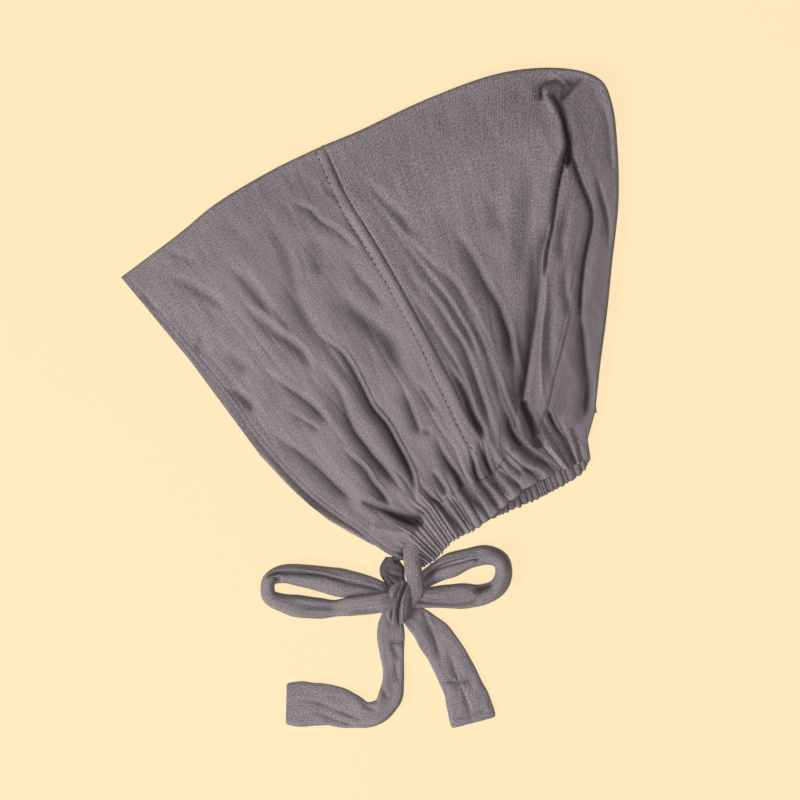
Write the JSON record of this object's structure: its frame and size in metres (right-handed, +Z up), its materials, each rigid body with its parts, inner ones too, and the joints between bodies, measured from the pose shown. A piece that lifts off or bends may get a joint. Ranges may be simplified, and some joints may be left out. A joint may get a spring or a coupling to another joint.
{
  "type": "underscarf cap with ties",
  "caption": "Soft knit underscarf cap lying folded on its side, with a seamed crown, a gathered neck casing and ties knotted in a bow.",
  "frame": {"origin": "under the middle of the whole piece, on the surface that it lies on", "axes": "+Z up from the surface, +X from the face edge towards the back of the head, +Y from the bow towards the crown"},
  "size_m": [0.3092, 0.4106, 0.0162],
  "materials": {
    "jersey": "matt grey melange knit",
    "casing_jersey": "matt grey melange knit, gathered over elastic",
    "tie_jersey": "matt grey melange knit, double layer"
  },
  "bodies": {
    "root": {"front_panel": "jersey", "crown_panel": "jersey", "neck_casing": "casing_jersey", "tie_near_stem": "tie_jersey", "tie_far_stem": "tie_jersey", "bow_knot": "tie_jersey", "bow_loop_left": "tie_jersey", "bow_loop_right": "tie_jersey", "tie_end_left": "tie_jersey", "tie_end_right": "tie_jersey"}
  },
  "joints": []
}
